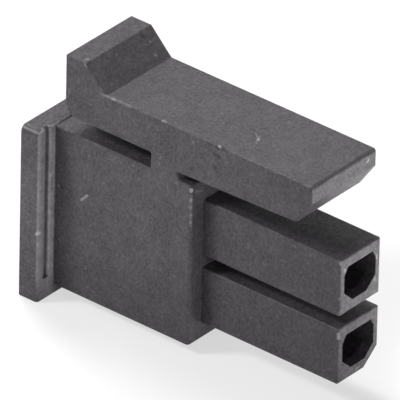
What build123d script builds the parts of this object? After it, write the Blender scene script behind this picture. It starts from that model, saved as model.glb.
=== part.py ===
from build123d import *
from math import hypot, sqrt
import os

# Receptacle housing of a small power connector: two wire circuits, one above the other,
# in a single nylon moulding with a cantilevered latch arm along its top.
# Frame: millimetres, +Z up. The mating face looks towards -Y and the wires enter at +Y.
# X = 0 is the middle of the width, Y = 0 the middle of the length and Z = 0 the underside
# of the rear flange. A "depth" is a distance behind the mating face.

# Circuits
circuit_pitch = 3.00
circuit_count = 2

# Mating tubes, one round each circuit
tube_width = 2.38
tube_height = 2.44
tube_length = 6.64
key_chamfer_width = 0.78
key_chamfer_height = 0.67

# Body block behind the tubes
body_width = 3.84
body_length = 6.63
body_below_tubes = 0.71
body_above_tubes = 0.90

# Rear flange, with two grip beads down the front of each wing and a groove between them
flange_thickness = 0.97
flange_wing = 0.98
flange_below_body = 0.40
flange_above_body = 0.10
outer_bead_width = 0.39
bead_gap = 0.24
bead_depth = 0.20
bead_foot = 0.93

# Latch arm: a post on the body carries a nose that points forward and a thumb beam behind
gap_depth = 0.73
gap_height = 0.33
post_length = 1.29
thumb_slot_height = 0.68
thumb_beam_thickness = 1.60
thumb_beam_length = 4.21
nose_length = 6.47
nose_underside_rise = 0.16
nose_face_height = 0.74
nose_ramp_run = 0.72
ridge_height = 1.03
ridge_flat = 1.01
ridge_ramp_run = 1.02

# Catch pocket in the nose's underside, where the mate's latch tooth drops in
catch_width = 2.00
catch_bar = 0.80
catch_length = 2.40
catch_depth = 0.70

# Contact cavity of each circuit
front_wall = 0.45
opening_width = 1.86
opening_height = 1.58
opening_low_chamfer_width = 0.52
opening_low_chamfer_height = 0.49
opening_high_chamfer_width = 0.20
opening_high_chamfer_height = 0.32
chamber_width = 1.86
chamber_height = 1.90
key_wall = 0.25
chamber_behind_shoulder = 3.20
lance_pocket_behind_shoulder = 0.80
lance_pocket_length = 1.50
lance_pocket_width = 1.00
lance_pocket_depth = 0.30
wire_bore = 2.20
wire_lead_in = 0.25

# Edge rounding of the moulding
body_front_radius = 0.14
underside_radius = 0.05
tube_edge_radius = 0.08
flange_corner_radius = 0.30
flange_front_radius = 0.16
flange_rear_radius = 0.12
grip_bead_radius = 0.10
latch_edge_radius = 0.08
nose_brow_radius = 0.15
thumb_heel_radius = 0.55
gap_foot_radius = 0.30
slot_corner_radius = 0.06

# Most of a wall, or of a grip bead, that a rounding may take
wall_share = 0.40
bead_share = 0.45

# How far pieces run into each other, and how far a cut runs out of the solid
joint_overlap = 0.30
cut_clearance = 1.00

# How near a point has to lie to count as the same place
place_reach = 0.02

# Positions that follow from the sizes
overall_length = tube_length + body_length + flange_thickness
tube_stack_height = (circuit_count - 1) * circuit_pitch + tube_height
body_height = body_below_tubes + tube_stack_height + body_above_tubes
body_floor = flange_below_body
body_roof = body_floor + body_height
lowest_tube_floor = body_floor + body_below_tubes
flange_height = body_height + flange_below_body + flange_above_body
flange_width = body_width + 2 * flange_wing
thumb_underside = body_roof + thumb_slot_height
arm_top = thumb_underside + thumb_beam_thickness
nose_root_underside = body_roof + gap_height
nose_tip_underside = nose_root_underside + nose_underside_rise
post_front_depth = tube_length + gap_depth
post_rear_depth = post_front_depth + post_length
nose_tip_depth = post_front_depth - nose_length
thumb_rear_depth = post_rear_depth + thumb_beam_length
flange_front_depth = tube_length + body_length


def y_at(depth):
    """Y of a plane that lies this far behind the mating face."""
    return depth - overall_length / 2


def block(width, depth_from, depth_to, z_from, z_to, x_middle=0.0):
    """A block centred on x_middle between two depths and two heights."""
    size = (width, depth_to - depth_from, z_to - z_from)
    middle = (x_middle, y_at((depth_from + depth_to) / 2), (z_from + z_to) / 2)
    return Pos(*middle) * Box(*size)


def prism(outline, z_axis, depth_from, depth_to):
    """An outline of (x, z) points about the height z_axis, run back between two depths."""
    mouth = Plane((0, y_at(depth_from), z_axis), x_dir=(1, 0, 0), z_dir=(0, -1, 0))
    face = mouth * make_face(Polyline(*outline, close=True))
    return extrude(face, depth_to - depth_from, dir=(0, 1, 0))


def circuit_axes():
    """Heights of the circuits' middles, from the lowest up."""
    first = lowest_tube_floor + tube_height / 2
    return [first + row * circuit_pitch for row in range(circuit_count)]


def limited(radius, *walls):
    """A rounding radius that stays inside the thinnest of the walls it is cut into."""
    return min([radius] + [wall_share * wall for wall in walls])


def mating_tube(z_axis, keyed):
    """One square tube, whose lower right corner is cut off where it keys the mate."""
    side = tube_width / 2
    top = tube_height / 2
    outline = [(-side, -top), (side, -top), (side, top), (-side, top)]
    if keyed:
        outline[1:2] = [(side - key_chamfer_width, -top), (side, -top + key_chamfer_height)]
    tube = prism(outline, z_axis, 0, tube_length + joint_overlap)
    long_edges = tube.edges().filter_by(Axis.Y)
    front_edges = tube.faces().sort_by(Axis.Y)[0].edges()
    radius = limited(tube_edge_radius, (tube_width - opening_width) / 2)
    return fillet(long_edges + front_edges, radius)


def body_block():
    """The plain block that joins the tubes, with its front and the edges of its underside rounded."""
    rear_depth = flange_front_depth + flange_thickness / 2
    body = block(body_width, tube_length, rear_depth, body_floor, body_roof)
    front_edges = body.faces().sort_by(Axis.Y)[0].edges().sort_by(Axis.Z)
    body = fillet(front_edges[1:], body_front_radius)
    low_edges = body.faces().sort_by(Axis.Z)[0].edges().sort_by(Axis.Y)
    return fillet(low_edges[:-1], underside_radius)


def rear_flange():
    """The flange round the wire side, with a groove down the front of each wing."""
    flange = block(flange_width, flange_front_depth, overall_length, 0, flange_height)
    top_corners = flange.edges().filter_by(Axis.Y).group_by(Axis.Z)[-1]
    flange = fillet(top_corners, limited(flange_corner_radius, flange_wing))
    for depth, radius in ((flange_front_depth, flange_front_radius), (overall_length, flange_rear_radius)):
        outline = flange.edges().filter_by_position(Axis.Y, y_at(depth) - place_reach, y_at(depth) + place_reach)
        rim = outline.filter_by(lambda edge: edge.center().Z > place_reach)
        flange = fillet(rim, limited(radius, flange_thickness, outer_bead_width))
    flange = fillet(flange.faces().sort_by(Axis.Z)[0].edges(), underside_radius)
    groove = grip_groove()
    return flange - groove - mirror(groove, about=Plane.YZ)


def grip_groove():
    """The groove between one wing's two beads, flared where it rounds their front edges."""
    wide = flange_width / 2 - outer_bead_width
    narrow = wide - bead_gap
    inner_bead_width = narrow - body_width / 2
    radius = min(grip_bead_radius, bead_depth, bead_share * outer_bead_width, bead_share * inner_bead_width)
    lean = radius * (1 - sqrt(0.5))
    front = y_at(flange_front_depth)
    back = y_at(flange_front_depth + bead_depth)
    clear = front - cut_clearance
    walls = Polyline((wide, front + radius), (wide, back), (narrow, back), (narrow, front + radius))
    mouth = Polyline((wide + radius, front), (wide + radius, clear),
                     (narrow - radius, clear), (narrow - radius, front))
    edges = [*walls.edges(), *mouth.edges()]
    for x, way in ((wide, 1), (narrow, -1)):
        middle = (x + way * lean, front + lean)
        edges.append(ThreePointArc((x, front + radius), middle, (x + way * radius, front)))
    outline = Pos(0, 0, bead_foot) * make_face(edges)
    return extrude(outline, flange_height + cut_clearance - bead_foot, dir=(0, 0, 1))


def latch_arm():
    """Post, nose, thumb beam and ridge as one side profile run across the body's width."""
    ridge_front_depth = thumb_rear_depth - ridge_flat
    profile = [
        (post_rear_depth, body_roof - joint_overlap),
        (post_rear_depth, thumb_underside),
        (thumb_rear_depth, thumb_underside),
        (thumb_rear_depth, arm_top + ridge_height),
        (ridge_front_depth, arm_top + ridge_height),
        (ridge_front_depth - ridge_ramp_run, arm_top),
        (nose_tip_depth, arm_top),
        (nose_tip_depth, arm_top - nose_face_height),
        (nose_tip_depth + nose_ramp_run, nose_tip_underside),
        (post_front_depth, nose_root_underside),
        (post_front_depth, body_roof - joint_overlap),
    ]
    side_plane = Plane((-body_width / 2, 0, 0), x_dir=(0, 1, 0), z_dir=(1, 0, 0))
    outline = Polyline(*[(y_at(depth), z) for depth, z in profile], close=True)
    return extrude(side_plane * make_face(outline), body_width)


def catch_pocket():
    """The pocket under the nose, closed in front by the bar that holds the mate's tooth."""
    front = nose_tip_depth + nose_ramp_run + catch_bar
    floor = nose_root_underside - joint_overlap
    return block(catch_width, front, front + catch_length, floor, nose_tip_underside + catch_depth)


def contact_opening(z_axis):
    """The eight-sided mouth in the front wall, whose corners stop the contact."""
    side = opening_width / 2
    top = opening_height / 2
    outline = [
        (-side + opening_low_chamfer_width, -top),
        (side - opening_low_chamfer_width, -top),
        (side, -top + opening_low_chamfer_height),
        (side, top - opening_high_chamfer_height),
        (side - opening_high_chamfer_width, top),
        (-side + opening_high_chamfer_width, top),
        (-side, top - opening_high_chamfer_height),
        (-side, -top + opening_low_chamfer_height),
    ]
    return prism(outline, z_axis, -cut_clearance, front_wall + joint_overlap)


def contact_chamber(z_axis, rear_depth):
    """The room for the contact's box, whose low corners leave a wall behind the key chamfer."""
    slope = key_chamfer_height / key_chamfer_width
    side = chamber_width / 2
    half = chamber_height / 2
    key_line = key_chamfer_height - tube_height / 2 - slope * (tube_width / 2 - side)
    cut_height = half + key_line + key_wall * hypot(1, slope)
    cut_width = cut_height / slope
    outline = [
        (-side + cut_width, -half),
        (side - cut_width, -half),
        (side, -half + cut_height),
        (side, half),
        (-side, half),
        (-side, -half + cut_height),
    ]
    return prism(outline, z_axis, front_wall, rear_depth)


def contact_cavity(z_axis):
    """Everything that is open inside one circuit, from its mouth to its wire entry."""
    chamber_rear = tube_length + chamber_behind_shoulder
    pocket_front = tube_length + lance_pocket_behind_shoulder
    pocket_rear = pocket_front + lance_pocket_length
    cavity = contact_opening(z_axis)
    cavity += contact_chamber(z_axis, chamber_rear + joint_overlap)
    pocket_roof = z_axis + chamber_height / 2 + lance_pocket_depth
    cavity += block(lance_pocket_width, pocket_front, pocket_rear, z_axis, pocket_roof)
    bore_rear = overall_length + cut_clearance
    cavity += block(wire_bore, chamber_rear, bore_rear, z_axis - wire_bore / 2, z_axis + wire_bore / 2)
    return cavity + wire_entry(z_axis)


def wire_entry(z_axis):
    """The flared mouth of one wire bore in the rear face."""
    narrow = Plane((0, y_at(overall_length - wire_lead_in), z_axis), x_dir=(1, 0, 0), z_dir=(0, 1, 0))
    wide = Plane((0, y_at(overall_length), z_axis), x_dir=(1, 0, 0), z_dir=(0, 1, 0))
    flared = wire_bore + 2 * wire_lead_in
    return loft([narrow * Rectangle(wire_bore, wire_bore), wide * Rectangle(flared, flared)])


def near(edge, depth, height):
    """Whether an edge's middle lies at a depth and a height."""
    middle = edge.center()
    return abs(middle.Y - y_at(depth)) < place_reach and abs(middle.Z - height) < place_reach


def cross_edge(solid, depth, height):
    """The edges that run across the width at a depth and a height."""
    return solid.edges().filter_by(Axis.X).filter_by(lambda edge: near(edge, depth, height))


def round_latch(solid):
    """Rounds the arm's cross edges: its heel, its two roots and its outer corners."""
    roots = [
        (post_front_depth, body_roof, limited(gap_foot_radius, gap_height * 2)),
        (post_rear_depth, body_roof, limited(slot_corner_radius, thumb_slot_height)),
        (post_rear_depth, thumb_underside, limited(slot_corner_radius, thumb_slot_height)),
        (thumb_rear_depth, thumb_underside, limited(thumb_heel_radius, thumb_beam_thickness)),
        (thumb_rear_depth, arm_top + ridge_height, latch_edge_radius),
        (thumb_rear_depth - ridge_flat, arm_top + ridge_height, latch_edge_radius),
        (nose_tip_depth, arm_top, limited(nose_brow_radius, nose_face_height)),
        (nose_tip_depth, arm_top - nose_face_height, latch_edge_radius),
        (nose_tip_depth + nose_ramp_run, nose_tip_underside, latch_edge_radius),
    ]
    for depth, height, radius in roots:
        solid = fillet(cross_edge(solid, depth, height), radius)
    return solid


def side_outline(solid):
    """The edges that bound the flat sides of the body's roof, the post and the arm."""
    side = body_width / 2

    def on_side(edge):
        ends = [edge.position_at(share) for share in (0, 0.5, 1)]
        flat = all(abs(abs(end.X) - side) < place_reach for end in ends)
        return flat and min(end.Z for end in ends) > body_roof - body_front_radius / 2

    return solid.edges().filter_by(on_side)


def housing():
    """The whole moulding as one solid."""
    solid = round_latch(body_block() + latch_arm())
    solid = fillet(side_outline(solid), latch_edge_radius)
    solid += rear_flange()
    for row, z_axis in enumerate(circuit_axes()):
        solid += mating_tube(z_axis, keyed=row == 0)
    for z_axis in circuit_axes():
        solid -= contact_cavity(z_axis)
    return solid - catch_pocket()


def main():
    os.makedirs("parts", exist_ok=True)
    solid = housing()
    solid.label = "housing"
    solid.color = Color(0.10, 0.10, 0.105)
    export_step(solid, "parts/housing.step")
    print("housing", len(solid.solids()), "solid", round(solid.volume, 3), "mm3", solid.bounding_box())


main()
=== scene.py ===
import math

import bmesh
import bpy
from mathutils import Matrix, Vector

bl_info = {
    "name": "Moulded Connector Housing",
    "version": (1, 0, 0),
    "blender": (4, 5, 0),
    "location": "View3D > Sidebar > Connector",
    "description": "Finishes a moulded nylon connector housing and sets it on a plain studio floor",
    "category": "Object",
}

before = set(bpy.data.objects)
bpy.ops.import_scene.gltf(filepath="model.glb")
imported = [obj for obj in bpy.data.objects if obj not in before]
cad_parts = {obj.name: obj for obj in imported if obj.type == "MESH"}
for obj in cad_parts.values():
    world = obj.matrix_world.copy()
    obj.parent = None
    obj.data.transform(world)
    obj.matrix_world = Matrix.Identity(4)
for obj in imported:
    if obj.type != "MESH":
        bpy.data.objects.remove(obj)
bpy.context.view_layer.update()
HOUSING = "housing"
MM = 0.001

# Faces of the moulding in millimetres: the body's side and roof, and the front of the flange
BODY_SIDE = 1.92
BODY_ROOF = 7.45
FLANGE_FRONT = 6.15

# How far the painted light on the flange's beads and top rim reaches back from its front, and the size of its
# patches, in millimetres
RIM_LIGHT_DEPTH = 0.12
RIM_LIGHT_PATCH = 0.30

# Shares, from 0 to 1: the grain's in the tone, where clouds have the rest, and what edge wear (partly a
# painted highlight) and the painted light on the flange cover
GRAIN_SHARE = 0.65
WEAR_SHEEN_SHARE = 0.60
RIM_LIGHT_SHARE = 0.90

# How much the tone and the wear change the roughness, and how dark a pit is beside the base colour
TONE_ROUGHNESS = 0.06
WEAR_POLISH = 0.12
PIT_SHADE = 0.2

# Distances of the soft lamps from the housing's middle and of the spot lamps above the floor, in millimetres
LAMP_DISTANCE = 250
SPOT_HEIGHT = 60

# Where the soft lamps hang, seen from the housing's middle, and how wide they are in metres
LEFT_LAMP = ((-0.53, 0.54, 0.66), 0.05)
TOP_LAMP = ((0.25, 0.43, 0.87), 0.09)
FRONT_LAMP = ((-0.045, -1.00, 0.06), 0.06)

# Middle and radius of each patch of floor that a spot lamp lights, in millimetres
FRONT_PATCH = ((10, -17), 11)
REAR_PATCH = ((-14, 8), 9)

# The floor: half its width, how far it lies below the housing, and its shade and glow as the camera sees it
FLOOR_HALF = 1.5
FLOOR_DROP = 0.01 * MM
FLOOR_SHADE = 0.42
FLOOR_GLOW = 0.62


class NylonFinish(bpy.types.PropertyGroup):
    """Colours and textures of the black nylon."""

    base: bpy.props.FloatVectorProperty(
        name="Base colour",
        description="Colour of the nylon where it is neither worn nor scuffed",
        subtype="COLOR", size=3, min=0, max=1, default=(0.0630, 0.0570, 0.0635),
    )
    mottle: bpy.props.FloatProperty(
        name="Mottle", description="How far the mould's texture and its clouds lighten or darken the colour",
        min=0, max=1, subtype="FACTOR", default=0.37,
    )
    flecks: bpy.props.FloatProperty(
        name="Flecks", description="How strongly the tiny pale and dark flecks show",
        min=0, max=1, subtype="FACTOR", default=0.34,
    )
    # Worn edges, and the painted highlight that the edge wear also lays along them; the pale flecks take this
    # colour too
    worn_sheen: bpy.props.FloatVectorProperty(
        name="Worn edges",
        description="Colour that rubbed corners and edges turn to",
        subtype="COLOR", size=3, min=0, max=1, default=(0.175, 0.165, 0.176),
    )
    # Painted light: the flange's grip beads, top rim and groove are lightened to this colour where the lamps
    # leave them darker
    painted_flange_light: bpy.props.FloatVectorProperty(
        name="Rubbed beads",
        description="Colour that the flange's grip beads and top rim are rubbed to",
        subtype="COLOR", size=3, min=0, max=1, default=(0.270, 0.256, 0.271),
    )
    # Colour of the whitened scuffs and of the painted highlights along edges
    scuff_and_highlight: bpy.props.FloatVectorProperty(
        name="Scuffs",
        description="Colour of the small whitened marks",
        subtype="COLOR", size=3, min=0, max=1, default=(0.42, 0.41, 0.42),
    )
    roughness: bpy.props.FloatProperty(
        name="Roughness", description="Mean roughness of the matte surface",
        min=0, max=1, default=0.50,
    )
    gloss: bpy.props.FloatProperty(
        name="Gloss level", description="How much the surface reflects, 0.5 being ordinary plastic",
        min=0, max=1, default=0.30,
    )
    cloud_size: bpy.props.FloatProperty(
        name="Cloud size", description="Width of one cloudy patch",
        unit="LENGTH", default=0.00040, precision=6,
    )
    grain_size: bpy.props.FloatProperty(
        name="Grain size", description="Width of one bump of the mould's texture",
        unit="LENGTH", default=0.000120, precision=6,
    )
    grain_depth: bpy.props.FloatProperty(
        name="Grain depth", description="Height of the mould's texture",
        unit="LENGTH", default=0.000006, precision=6,
    )
    edge_radius: bpy.props.FloatProperty(
        name="Wear width", description="How far edge wear reaches from an edge",
        unit="LENGTH", default=0.00007, precision=6,
    )


class StudioSetup(bpy.types.PropertyGroup):
    """Camera, lamps and floor."""

    azimuth: bpy.props.FloatProperty(
        name="Azimuth", description="Camera's turn about the upright axis, 0 looking along +Y",
        subtype="ANGLE", default=math.radians(-50.95),
    )
    elevation: bpy.props.FloatProperty(
        name="Elevation", description="Camera's height above the level, as an angle",
        subtype="ANGLE", default=math.radians(31.63),
    )
    roll: bpy.props.FloatProperty(
        name="Roll", description="Camera's turn about its own view",
        subtype="ANGLE", default=math.radians(1.33),
    )
    distance: bpy.props.FloatProperty(
        name="Camera distance", description="From the camera to the point that it looks at",
        unit="LENGTH", default=0.495,
    )
    aim: bpy.props.FloatVectorProperty(
        name="Aim", description="The point at the middle of the picture",
        subtype="TRANSLATION", unit="LENGTH", size=3, precision=6, default=(0.000043, 0.000688, 0.005490),
    )
    view_width: bpy.props.FloatProperty(
        name="View width", description="Width that the picture covers at the aim",
        unit="LENGTH", default=0.01506, precision=6,
    )
    world_fill: bpy.props.FloatProperty(
        name="Room fill", description="Even light from all round", min=0, default=0.15,
    )
    left_power: bpy.props.FloatProperty(
        name="Left lamp", description="Power of the lamp behind the flange, on the left",
        subtype="POWER", min=0, default=0.298,
    )
    top_power: bpy.props.FloatProperty(
        name="Top lamp", description="Power of the large soft lamp above and a little behind",
        subtype="POWER", min=0, default=0.400,
    )
    front_power: bpy.props.FloatProperty(
        name="Front lamp", description="Power of the low soft lamp before the mating face",
        subtype="POWER", min=0, default=0.30,
    )
    bounce_power: bpy.props.FloatProperty(
        name="Bounce lamp", description="Power of the lamp that lights the floor before the housing",
        subtype="POWER", min=0, default=0.96,
    )
    rear_bounce_power: bpy.props.FloatProperty(
        name="Rear bounce lamp", description="Power of the lamp that lights the floor left of the flange",
        subtype="POWER", min=0, default=0.306,
    )
    floor: bpy.props.FloatVectorProperty(
        name="Floor", description="Colour of the plain pale floor",
        subtype="COLOR", size=3, min=0, max=1, default=(0.90, 0.90, 0.90),
    )


class NodeTree:
    """Short calls for adding nodes to a tree and linking them."""

    def __init__(self, tree):
        self.tree = tree

    def add(self, kind, inputs=None, **settings):
        node = self.tree.nodes.new(kind)
        for name, value in settings.items():
            setattr(node, name, value)
        for name, value in (inputs or {}).items():
            self.feed(node.inputs[name], value)
        return node

    def feed(self, socket, value):
        """Links another node's socket, or sets a plain value."""
        if isinstance(value, bpy.types.NodeSocket):
            self.tree.links.new(value, socket)
        else:
            socket.default_value = value

    def math(self, operation, first, second=0.0, third=0.0, clamp=False):
        node = self.add("ShaderNodeMath", operation=operation, use_clamp=clamp)
        for socket, value in zip(node.inputs, (first, second, third)):
            self.feed(socket, value)
        return node.outputs[0]

    def vector(self, operation, first, second=None, output=0):
        node = self.add("ShaderNodeVectorMath", operation=operation)
        self.feed(node.inputs[0], first)
        if second is not None:
            self.feed(node.inputs[1], second)
        return node.outputs[output]

    def ramp(self, value, low, high, to_low=0.0, to_high=1.0):
        """Turns a range of values smoothly into another, downwards where low is the higher one."""
        node = self.add("ShaderNodeMapRange", interpolation_type="SMOOTHSTEP")
        for name, number in (("Value", value), ("From Min", low), ("From Max", high),
                             ("To Min", to_low), ("To Max", to_high)):
            self.feed(node.inputs[name], number)
        return node.outputs[0]

    def blend(self, share, first, second):
        """Mixes two colours. A mix node repeats its sockets' names, so they are taken by number."""
        node = self.add("ShaderNodeMix", data_type="RGBA")
        self.feed(node.inputs[0], share)
        self.feed(node.inputs[6], first)
        self.feed(node.inputs[7], second)
        return node.outputs[2]

    def noise(self, place, scale, detail=2.0, roughness=0.5):
        inputs = {"Vector": place, "Scale": scale, "Detail": detail, "Roughness": roughness}
        return self.add("ShaderNodeTexNoise", inputs).outputs["Fac"]


def new_group(name, inputs, outputs):
    """An empty node group with named inputs (name, kind, default) and outputs (name, kind)."""
    tree = bpy.data.node_groups.new(name, "ShaderNodeTree")
    for label, kind, default in inputs:
        socket = tree.interface.new_socket(label, in_out="INPUT", socket_type=kind)
        if default is not None:
            socket.default_value = default
    for label, kind in outputs:
        tree.interface.new_socket(label, in_out="OUTPUT", socket_type=kind)
    nodes = NodeTree(tree)
    source = nodes.add("NodeGroupInput").outputs
    sink = nodes.add("NodeGroupOutput").inputs
    return nodes, source, sink


def mould_grain_group():
    """Fine spark-eroded texture of the mould: a height, a tone and tiny flecks, all from 0 to 1."""
    nodes, source, sink = new_group(
        "mould_grain",
        [("Vector", "NodeSocketVector", None), ("Size", "NodeSocketFloat", 0.0001)],
        [("Height", "NodeSocketFloat"), ("Tone", "NodeSocketFloat"),
         ("Pale", "NodeSocketFloat"), ("Dark", "NodeSocketFloat")],
    )
    scale = nodes.math("DIVIDE", 1.0, source["Size"])
    fine = nodes.noise(source["Vector"], scale, 2.0, 0.6)
    coarse = nodes.noise(source["Vector"], nodes.math("MULTIPLY", scale, 0.42), 2.0, 0.5)
    nodes.feed(sink["Height"], nodes.math("MULTIPLY_ADD", coarse, 0.5, nodes.math("MULTIPLY", fine, 0.5)))
    nodes.feed(sink["Tone"], nodes.ramp(fine, 0.36, 0.64))
    fleck = nodes.noise(source["Vector"], nodes.math("MULTIPLY", scale, 0.60), 1.0, 0.5)
    nodes.feed(sink["Pale"], nodes.ramp(fleck, 0.66, 0.76))
    nodes.feed(sink["Dark"], nodes.ramp(fleck, 0.34, 0.26))
    return nodes.tree


def cloud_group():
    """Cloudy patches in two sizes, from 0 to 1."""
    nodes, source, sink = new_group(
        "mould_clouds",
        [("Vector", "NodeSocketVector", None), ("Size", "NodeSocketFloat", 0.0005)],
        [("Cloud", "NodeSocketFloat")],
    )
    scale = nodes.math("DIVIDE", 1.0, source["Size"])
    broad = nodes.noise(source["Vector"], nodes.math("MULTIPLY", scale, 0.35), 2.0, 0.5)
    small = nodes.noise(source["Vector"], scale, 3.0, 0.55)
    both = nodes.math("MULTIPLY_ADD", broad, 0.45, nodes.math("MULTIPLY", small, 0.55))
    nodes.feed(sink["Cloud"], nodes.ramp(both, 0.38, 0.62))
    return nodes.tree


def edge_wear_sheen_group():
    """A patchy mask along outer edges, where a rounded normal parts from the true one: edge wear that also
    paints a highlight along them.
    """
    nodes, source, sink = new_group(
        "edge_wear_sheen",
        [("Vector", "NodeSocketVector", None), ("Radius", "NodeSocketFloat", 0.0001),
         ("Patch Size", "NodeSocketFloat", 0.0004)],
        [("Wear", "NodeSocketFloat")],
    )
    rounded = nodes.add("ShaderNodeBevel", {"Radius": source["Radius"]}, samples=6).outputs["Normal"]
    true = nodes.add("ShaderNodeNewGeometry").outputs["True Normal"]
    bend = nodes.math("SUBTRACT", 1.0, nodes.vector("DOT_PRODUCT", rounded, true, output="Value"))
    edge = nodes.ramp(bend, 0.015, 0.16)
    patch = nodes.noise(source["Vector"], nodes.math("DIVIDE", 1.0, source["Patch Size"]), 3.0, 0.6)
    nodes.feed(sink["Wear"], nodes.math("MULTIPLY", edge, nodes.ramp(patch, 0.40, 0.66)))
    return nodes.tree


def streak_mask_group():
    """A ragged streak between two points, as wide as its reach on either side of their line."""
    nodes, source, sink = new_group(
        "mark_streak",
        [("Vector", "NodeSocketVector", None), ("Start", "NodeSocketVector", (0, 0, 0)),
         ("Run", "NodeSocketVector", (0, 0, 0.0001)), ("Reach", "NodeSocketFloat", 0.0001),
         ("Strength", "NodeSocketFloat", 1.0)],
        [("Mask", "NodeSocketFloat")],
    )
    offset = nodes.vector("SUBTRACT", source["Vector"], source["Start"])
    along = nodes.vector("DOT_PRODUCT", offset, source["Run"], output="Value")
    square = nodes.vector("DOT_PRODUCT", source["Run"], source["Run"], output="Value")
    share = nodes.math("DIVIDE", along, square, clamp=True)
    foot = nodes.vector("SCALE", source["Run"])
    nodes.feed(foot.node.inputs["Scale"], share)
    distance = nodes.vector("LENGTH", nodes.vector("SUBTRACT", offset, foot), output="Value")
    distance = nodes.math("DIVIDE", distance, source["Reach"])
    ragged = nodes.noise(source["Vector"], 1 / (0.10 * MM), 2.0, 0.6)
    torn = nodes.math("MULTIPLY_ADD", nodes.math("SUBTRACT", ragged, 0.5), 0.9, distance)
    mask = nodes.ramp(torn, 1.0, 0.40)
    nodes.feed(sink["Mask"], nodes.math("MULTIPLY", mask, source["Strength"]))
    return nodes.tree


def painted_rim_light_group():
    """A ragged mask of painted light on the flange, lightening what the lamps leave dark: its top rim and,
    most of all, its inner beads.
    """
    nodes, source, sink = new_group(
        "painted_rim_light",
        [("Vector", "NodeSocketVector", None), ("Root", "NodeSocketFloat", 0.0019),
         ("Top", "NodeSocketFloat", 0.0074), ("Front", "NodeSocketFloat", 0.0061),
         ("Depth", "NodeSocketFloat", 0.0001), ("Patch Size", "NodeSocketFloat", 0.0003)],
        [("Mask", "NodeSocketFloat")],
    )
    split = nodes.add("ShaderNodeSeparateXYZ", {"Vector": source["Vector"]}).outputs
    aside = nodes.math("SUBTRACT", nodes.math("ABSOLUTE", split["X"]), source["Root"])
    back = nodes.math("SUBTRACT", split["Y"], source["Front"])
    above = nodes.math("SUBTRACT", split["Z"], source["Top"])
    beside = nodes.math("MAXIMUM", nodes.ramp(aside, 0.02 * MM, 0.08 * MM), nodes.ramp(above, 0, 0.02 * MM))
    # The painted light reaches deeper in the groove, lightening its shade; the groove lies 0.35 to 0.59 mm out
    # from the body's side
    groove = nodes.ramp(aside, 0.22 * MM, 0.32 * MM)
    groove = nodes.math("MULTIPLY", groove, nodes.ramp(aside, 0.74 * MM, 0.64 * MM))
    depth = nodes.math("MULTIPLY", source["Depth"], nodes.math("MULTIPLY_ADD", groove, 1.2, 1.0))
    near = nodes.ramp(nodes.math("DIVIDE", back, depth), 1.0, 0.5)
    before = nodes.ramp(back, -0.20 * MM, -0.10 * MM)
    upright = nodes.ramp(split["Z"], 0.3 * MM, 1.3 * MM, 0.30, 1.0)
    patch = nodes.noise(source["Vector"], nodes.math("DIVIDE", 1.0, source["Patch Size"]), 2.0, 0.5)
    mask = nodes.ramp(patch, 0.30, 0.55, 0.72, 1.0)
    inner = nodes.ramp(aside, 0.55 * MM, 0.35 * MM, 0.72, 1.0)
    for part in (beside, near, before, upright, inner):
        mask = nodes.math("MULTIPLY", mask, part)
    nodes.feed(sink["Mask"], mask)
    return nodes.tree


def place_group(nodes, tree, inputs):
    """A node that holds a group, with its inputs fed."""
    node = nodes.add("ShaderNodeGroup")
    node.node_tree = tree
    for name, value in inputs.items():
        nodes.feed(node.inputs[name], value)
    return node.outputs


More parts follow.
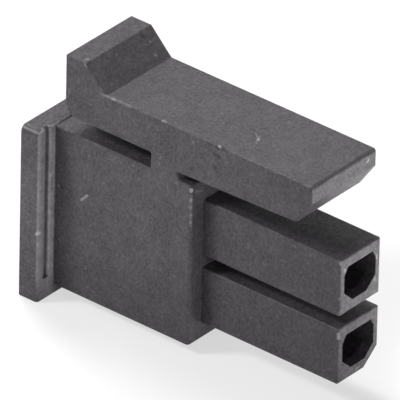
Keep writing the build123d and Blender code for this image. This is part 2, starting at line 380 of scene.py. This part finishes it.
def scuffs_and_highlights():
    """Where the surface is scuffed, and where highlights on edges are painted: two ends of a streak and its
    reach in millimetres, and its strength.
    """
    return [
        ((-2.90, 6.22, 3.06), (-2.80, 6.15, 3.09), 0.10, 0.80),
        ((-1.92, 4.86, 4.70), (-1.92, 4.58, 5.00), 0.07, 0.45),
        # Painted highlight: a faint line and a chain of bright spots down the rounded front-left edge of the
        # body
        ((-1.88, -0.44, 7.00), (-1.88, -0.44, 5.70), 0.08, 0.14),
        ((-1.88, -0.44, 7.27), (-1.88, -0.44, 7.23), 0.10, 0.70),
        ((-1.88, -0.44, 6.86), (-1.88, -0.44, 6.80), 0.08, 0.40),
        ((-1.88, -0.44, 6.52), (-1.88, -0.44, 6.47), 0.07, 0.26),
        ((-1.88, -0.44, 6.19), (-1.88, -0.44, 6.14), 0.07, 0.26),
        ((-1.88, -0.44, 5.86), (-1.88, -0.44, 5.80), 0.07, 0.30),
        # Painted highlight along the arm's top-left edge, with two brighter spots
        ((-1.90, 3.95, 9.71), (-1.90, 2.61, 9.71), 0.09, 0.18),
        ((-1.90, 3.80, 9.72), (-1.90, 3.70, 9.72), 0.07, 0.25),
        ((-1.90, 3.46, 9.72), (-1.90, 3.36, 9.72), 0.08, 0.40),
        # Whitened scuffs and nicks
        ((-1.70, 4.92, 10.75), (-1.66, 4.88, 10.75), 0.08, 0.40),
        ((-1.91, 4.80, 10.68), (-1.91, 4.76, 10.62), 0.06, 0.25),
        ((1.24, 4.01, 10.02), (1.26, 3.97, 9.98), 0.06, 0.35),
        ((1.37, 4.37, 10.39), (1.39, 4.35, 10.37), 0.05, 0.30),
        ((-1.86, 1.02, 9.72), (-1.86, 0.88, 9.72), 0.07, 0.40),
        ((-0.57, -2.55, 9.73), (-0.57, -2.51, 9.73), 0.06, 0.75),
        ((-0.28, -2.18, 9.73), (-0.57, -2.57, 9.73), 0.05, 0.32),
        ((-0.34, -2.43, 9.73), (-0.80, -2.62, 9.73), 0.05, 0.28),
        ((-1.90, -1.78, 9.72), (-1.88, -1.72, 9.73), 0.07, 0.65),
        ((-1.80, -5.49, 7.95), (-1.70, -5.49, 7.95), 0.06, 0.90),
        ((-1.54, -5.49, 7.95), (-1.48, -5.49, 7.95), 0.06, 0.80),
        ((-1.28, -5.49, 7.95), (-1.20, -5.49, 7.95), 0.06, 0.80),
        ((-1.18, -7.10, 3.34), (-1.17, -7.10, 3.16), 0.09, 0.48),
        ((-1.17, -7.10, 6.52), (-1.17, -7.10, 6.40), 0.08, 0.32),
        ((-0.92, -7.12, 6.08), (-0.88, -7.12, 5.96), 0.07, 0.35),
        ((0.98, -7.12, 5.86), (0.98, -7.12, 5.70), 0.06, 0.35),
        ((0.90, -7.12, 4.88), (0.90, -7.12, 4.76), 0.06, 0.35),
        ((-0.06, -7.12, 1.27), (0.10, -7.12, 1.30), 0.06, 0.35),
        ((-1.62, -0.48, 7.12), (-1.30, -0.48, 6.98), 0.08, 0.16),
        ((-1.92, 6.00, 4.88), (-1.92, 5.97, 4.84), 0.06, 0.35),
        ((-1.92, 5.91, 2.50), (-1.92, 5.87, 2.48), 0.06, 0.30),
        ((-2.17, 6.15, 3.75), (-2.12, 6.15, 3.64), 0.08, 0.42),
        ((-2.22, 6.16, 5.42), (-2.18, 6.15, 5.36), 0.07, 0.30),
        ((1.45, -6.20, 9.42), (1.38, -6.20, 9.36), 0.08, 0.45),
        # Painted highlight along the flange's top-left rounding and on the tops of its two beads
        ((-2.82, 7.00, 7.47), (-2.82, 6.25, 7.47), 0.07, 0.30),
        ((-2.72, 6.22, 7.50), (-2.62, 6.20, 7.52), 0.08, 0.35),
        ((-2.12, 6.22, 7.52), (-2.04, 6.20, 7.52), 0.08, 0.25),
    ]


def pit_marks():
    """Small dark pits beside the scuffs, given as the scuffs are."""
    return [
        ((-0.34, -2.26, 9.73), (-0.42, -2.34, 9.73), 0.11, 0.85),
        ((0.20, -2.20, 9.73), (0.24, -2.24, 9.73), 0.11, 0.75),
        ((-0.14, -1.94, 9.73), (-0.10, -1.98, 9.73), 0.09, 0.60),
        ((-1.92, -1.66, 9.66), (-1.92, -1.72, 9.62), 0.10, 0.80),
        ((-1.86, -1.90, 9.72), (-1.88, -1.98, 9.71), 0.11, 0.80),
        ((-1.92, -1.70, 9.31), (-1.92, -1.80, 9.26), 0.10, 0.80),
        ((-1.92, -1.52, 9.36), (-1.92, -1.58, 9.32), 0.09, 0.70),
        ((-1.92, -1.56, 8.77), (-1.92, -1.62, 8.73), 0.10, 0.65),
        ((-1.92, 5.87, 4.87), (-1.92, 5.83, 4.85), 0.10, 0.60),
        ((-1.60, 5.12, 10.76), (-1.68, 5.08, 10.76), 0.12, 0.65),
        ((-1.74, 4.76, 10.75), (-1.80, 4.73, 10.73), 0.11, 0.65),
        ((1.20, 4.60, 10.62), (1.22, 4.56, 10.58), 0.12, 0.65),
    ]


def nylon_material(finish):
    """Near-black moulded nylon with a fine matte texture, worn edges that also carry a painted highlight,
    painted light on the flange's beads and rim, small scuffs and painted edge highlights.
    """
    material = bpy.data.materials.new("moulded_nylon")
    material.use_nodes = True
    nodes = NodeTree(material.node_tree)
    shader = material.node_tree.nodes["Principled BSDF"]
    place = nodes.add("ShaderNodeTexCoord").outputs["Object"]

    grain = place_group(nodes, mould_grain_group(), {"Vector": place, "Size": finish.grain_size})
    cloud = place_group(nodes, cloud_group(), {"Vector": place, "Size": finish.cloud_size})["Cloud"]
    wear_sheen = place_group(nodes, edge_wear_sheen_group(), {"Vector": place, "Radius": finish.edge_radius})["Wear"]

    cloud_tone = nodes.math("MULTIPLY", cloud, 1 - GRAIN_SHARE)
    tone = nodes.math("MULTIPLY_ADD", grain["Tone"], GRAIN_SHARE, cloud_tone)
    base, worn_sheen, painted_flange_light = Vector(finish.base), Vector(finish.worn_sheen), Vector(finish.painted_flange_light)
    low, high = 1 - finish.mottle, 1 + finish.mottle
    worn_low, worn_high = 1 - finish.mottle / 2, 1 + finish.mottle / 2
    colour = nodes.blend(tone, (*(base * low), 1), (*(base * high), 1))
    worn_sheen_tone = nodes.blend(tone, (*(worn_sheen * worn_low), 1), (*(worn_sheen * worn_high), 1))
    painted_flange_light_tone = nodes.blend(tone, (*(painted_flange_light * worn_low), 1), (*(painted_flange_light * worn_high), 1))
    pale = nodes.math("MULTIPLY", grain["Pale"], finish.flecks)
    colour = nodes.blend(pale, colour, (*worn_sheen, 1))
    dark = nodes.math("MULTIPLY", grain["Dark"], finish.flecks)
    pit = (*(base * PIT_SHADE), 1)
    colour = nodes.blend(dark, colour, pit)
    # Edge wear, paler along every outer edge, also a painted highlight there
    colour = nodes.blend(nodes.math("MULTIPLY", wear_sheen, WEAR_SHEEN_SHARE), colour, worn_sheen_tone)
    # Painted light on the flange's beads, top rim and groove, standing in for light that the lamps do not give
    # there
    rim_light_inputs = {"Vector": place, "Root": BODY_SIDE * MM, "Top": BODY_ROOF * MM, "Front": FLANGE_FRONT * MM,
           "Depth": RIM_LIGHT_DEPTH * MM, "Patch Size": RIM_LIGHT_PATCH * MM}
    rim_light_mask = place_group(nodes, painted_rim_light_group(), rim_light_inputs)["Mask"]
    colour = nodes.blend(nodes.math("MULTIPLY", rim_light_mask, RIM_LIGHT_SHARE), colour, painted_flange_light_tone)
    streak = streak_mask_group()
    # Dark pits, then whitened scuffs and painted highlights, each blended in as a ragged streak
    for marks, shade in ((pit_marks(), pit), (scuffs_and_highlights(), (*finish.scuff_and_highlight, 1))):
        for start, end, reach, strength in marks:
            values = {"Vector": place, "Start": Vector(start) * MM, "Run": (Vector(end) - Vector(start)) * MM,
                      "Reach": reach * MM, "Strength": strength}
            colour = nodes.blend(place_group(nodes, streak, values)["Mask"], colour, shade)

    nodes.feed(shader.inputs["Base Color"], colour)
    rough = nodes.ramp(tone, 0.0, 1.0, finish.roughness + TONE_ROUGHNESS, finish.roughness - TONE_ROUGHNESS)
    rough = nodes.math("SUBTRACT", rough, nodes.math("MULTIPLY", wear_sheen, WEAR_POLISH))
    nodes.feed(shader.inputs["Roughness"], rough)
    shader.inputs["Specular IOR Level"].default_value = finish.gloss
    bump = nodes.add("ShaderNodeBump", {"Height": grain["Height"], "Distance": finish.grain_depth})
    nodes.feed(shader.inputs["Normal"], bump.outputs["Normal"])
    return material


def seen_rays(nodes):
    """1 for what the camera sees straight, mirrored or through glass, and 0 for what only lights."""
    path = nodes.add("ShaderNodeLightPath").outputs
    seen = nodes.math("MAXIMUM", path["Is Camera Ray"], path["Is Glossy Ray"])
    return nodes.math("MAXIMUM", seen, path["Is Transmission Ray"])


def floor_material(studio):
    """Plain pale floor that the camera sees nearly white, with a faint shadow."""
    material = bpy.data.materials.new("pale_floor")
    material.use_nodes = True
    nodes = NodeTree(material.node_tree)
    material.node_tree.nodes.remove(material.node_tree.nodes["Principled BSDF"])
    sink = material.node_tree.nodes["Material Output"].inputs["Surface"]
    matte = nodes.add("ShaderNodeBsdfDiffuse", {"Color": (*studio.floor, 1)}).outputs[0]
    seen = nodes.add("ShaderNodeBsdfDiffuse", {"Color": (FLOOR_SHADE, FLOOR_SHADE, FLOOR_SHADE, 1)}).outputs[0]
    glow = nodes.add("ShaderNodeEmission", {"Color": (1, 1, 1, 1), "Strength": FLOOR_GLOW}).outputs[0]
    bright = nodes.add("ShaderNodeAddShader")
    nodes.feed(bright.inputs[0], seen)
    nodes.feed(bright.inputs[1], glow)
    pick = nodes.add("ShaderNodeMixShader")
    nodes.feed(pick.inputs[0], seen_rays(nodes))
    nodes.feed(pick.inputs[1], matte)
    nodes.feed(pick.inputs[2], bright.outputs[0])
    nodes.feed(sink, pick.outputs[0])
    return material


class CONNECTOR_OT_dress_housing(bpy.types.Operator):
    """Give the housing its moulded nylon finish"""

    bl_idname = "connector.dress_housing"
    bl_label = "Dress Housing"

    def execute(self, context):
        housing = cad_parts[HOUSING]
        housing.data.materials.clear()
        housing.data.materials.append(nylon_material(context.scene.connector_finish))
        return {"FINISHED"}


class CONNECTOR_OT_set_stage(bpy.types.Operator):
    """Lay the floor, light the room and aim the lamps"""

    bl_idname = "connector.set_stage"
    bl_label = "Set Stage"

    def execute(self, context):
        studio = context.scene.connector_studio
        self.lay_floor(context, studio)
        self.light_room(context, studio)
        self.hang_lamp(context, "left_lamp", *LEFT_LAMP, studio.left_power)
        self.hang_lamp(context, "top_lamp", *TOP_LAMP, studio.top_power)
        self.hang_lamp(context, "front_lamp", *FRONT_LAMP, studio.front_power)
        self.light_floor(context, "bounce_lamp", *FRONT_PATCH, studio.bounce_power)
        self.light_floor(context, "rear_bounce_lamp", *REAR_PATCH, studio.rear_bounce_power)
        return {"FINISHED"}

    def hang_lamp(self, context, name, direction, size, power):
        """A soft lamp that hangs in a direction from the housing's middle, its size in metres."""
        lamp = bpy.data.lights.new(name, "AREA")
        lamp.size = size
        lamp.energy = power
        middle = Vector((0, 0, 5 * MM))
        place_lamp(context, lamp, middle + Vector(direction).normalized() * LAMP_DISTANCE * MM, middle)

    def light_floor(self, context, name, patch, radius, power):
        """A spot lamp straight above a round patch of the floor, in millimetres."""
        lamp = bpy.data.lights.new(name, "SPOT")
        lamp.energy = power
        lamp.spot_size = 2 * math.atan(radius / SPOT_HEIGHT)
        lamp.spot_blend = 0.6
        lamp.shadow_soft_size = 3 * MM
        place_lamp(context, lamp, Vector((*patch, SPOT_HEIGHT)) * MM, Vector((*patch, 0)) * MM)

    def lay_floor(self, context, studio):
        shape = bmesh.new()
        bmesh.ops.create_grid(shape, x_segments=1, y_segments=1, size=FLOOR_HALF)
        bmesh.ops.translate(shape, verts=shape.verts, vec=(0, 0, -FLOOR_DROP))
        mesh = bpy.data.meshes.new("floor")
        shape.to_mesh(mesh)
        shape.free()
        mesh.materials.append(floor_material(studio))
        floor = bpy.data.objects.new("floor", mesh)
        context.scene.collection.objects.link(floor)

    def light_room(self, context, studio):
        world = bpy.data.worlds.new("plain_room")
        context.scene.world = world
        world.use_nodes = True
        nodes = NodeTree(world.node_tree)
        back = world.node_tree.nodes["Background"]
        nodes.feed(back.inputs["Color"], (1, 1, 1, 1))
        gain = nodes.math("MULTIPLY_ADD", seen_rays(nodes), 1.0 - studio.world_fill, studio.world_fill)
        nodes.feed(back.inputs["Strength"], gain)


def place_lamp(context, lamp, place, target):
    """Adds a lamp at a place, turned to a target."""
    thing = bpy.data.objects.new(lamp.name, lamp)
    thing.location = place
    thing.rotation_euler = (target - place).to_track_quat("-Z", "Y").to_euler()
    context.scene.collection.objects.link(thing)


class CONNECTOR_OT_place_camera(bpy.types.Operator):
    """Put the camera at the photograph's viewing angle"""

    bl_idname = "connector.place_camera"
    bl_label = "Place Camera"

    def execute(self, context):
        studio = context.scene.connector_studio
        turn, rise = studio.azimuth, studio.elevation
        back = Vector((math.sin(turn) * math.cos(rise), -math.cos(turn) * math.cos(rise), math.sin(rise)))
        level = Vector((math.cos(turn), math.sin(turn), 0))
        upright = back.cross(level)
        right = level * math.cos(studio.roll) + upright * math.sin(studio.roll)
        up = back.cross(right)
        place = Vector(studio.aim) + back * studio.distance
        lens = bpy.data.cameras.new("photo_camera")
        lens.sensor_width = 36
        lens.lens = lens.sensor_width * studio.distance / studio.view_width
        lens.clip_start = 0.01
        lens.clip_end = 10
        camera = bpy.data.objects.new("photo_camera", lens)
        axes = Matrix((right, up, back)).transposed()
        camera.matrix_world = Matrix.Translation(place) @ axes.to_4x4()
        context.scene.collection.objects.link(camera)
        context.scene.camera = camera
        context.scene.view_settings.view_transform = "Standard"
        return {"FINISHED"}


class CONNECTOR_PT_panel(bpy.types.Panel):
    """Lists the steps and their settings"""

    bl_idname = "CONNECTOR_PT_panel"
    bl_label = "Connector"
    bl_space_type = "VIEW_3D"
    bl_region_type = "UI"
    bl_category = "Connector"

    def draw(self, context):
        column = self.layout.column()
        for operator in OPERATORS:
            column.operator(operator.bl_idname)
        for settings in (context.scene.connector_finish, context.scene.connector_studio):
            for name in settings.bl_rna.properties.keys():
                if name not in ("rna_type", "name"):
                    column.prop(settings, name)


OPERATORS = (CONNECTOR_OT_dress_housing, CONNECTOR_OT_set_stage, CONNECTOR_OT_place_camera)
CLASSES = (NylonFinish, StudioSetup, *OPERATORS, CONNECTOR_PT_panel)


def register():
    for item in CLASSES:
        bpy.utils.register_class(item)
    bpy.types.Scene.connector_finish = bpy.props.PointerProperty(type=NylonFinish)
    bpy.types.Scene.connector_studio = bpy.props.PointerProperty(type=StudioSetup)


def unregister():
    del bpy.types.Scene.connector_finish
    del bpy.types.Scene.connector_studio
    for item in reversed(CLASSES):
        bpy.utils.unregister_class(item)


def main():
    register()
    bpy.ops.connector.dress_housing()
    bpy.ops.connector.set_stage()
    bpy.ops.connector.place_camera()


if __name__ == "__main__":
    main()
